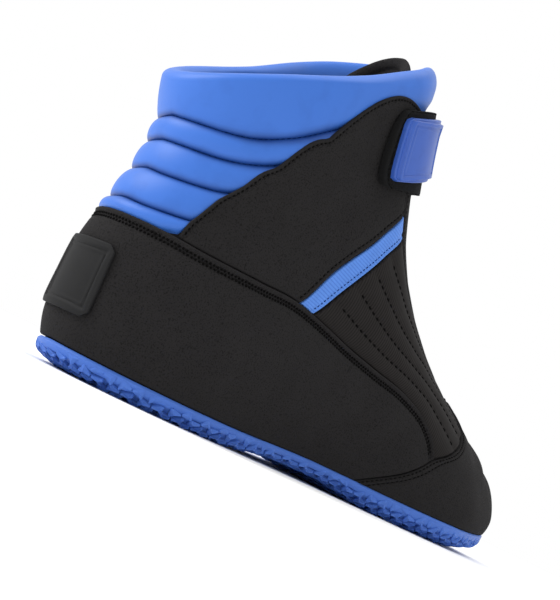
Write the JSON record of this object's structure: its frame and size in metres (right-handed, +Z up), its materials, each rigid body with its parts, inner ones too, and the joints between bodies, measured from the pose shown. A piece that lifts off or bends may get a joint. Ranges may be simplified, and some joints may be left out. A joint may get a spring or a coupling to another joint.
{
  "type": "high-top training shoe",
  "caption": "Right high-top training shoe: thin rolled-edge tread sole, hollow napped upper with stitched panels, padded ribbed cuff and an ankle strap.",
  "frame": {"origin": "middle of the bounding box, on the floor plane under the sole", "axes": "+Y from heel to toe, +X to the wearer's right, the lateral side of this right shoe, +Z up"},
  "size_m": [0.1175, 0.3009, 0.1973],
  "materials": {
    "blue_rubber": "satin moulded rubber",
    "blue_padding": "smooth soft leather over foam",
    "black_nap": "fine short nap",
    "black_rubber": "satin moulded rubber",
    "insole_foam": "textile over foam"
  },
  "bodies": {
    "root": {"outsole": "blue_rubber", "insole": "insole_foam", "upper": "black_nap", "collar_cuff": "blue_padding", "tongue": "black_nap", "quarter_band": "black_nap", "toe_panel": "black_nap", "ankle_panel_lateral": "black_nap", "ankle_panel_medial": "black_nap", "trim_band_lateral": "blue_padding", "trim_band_medial": "blue_padding", "vent_panel_lateral": "black_nap", "vent_panel_medial": "black_nap", "eyestay_lateral": "black_nap", "eyestay_medial": "black_nap", "ankle_strap": "black_nap", "strap_patch": "blue_rubber", "heel_badge": "black_rubber"}
  },
  "joints": []
}
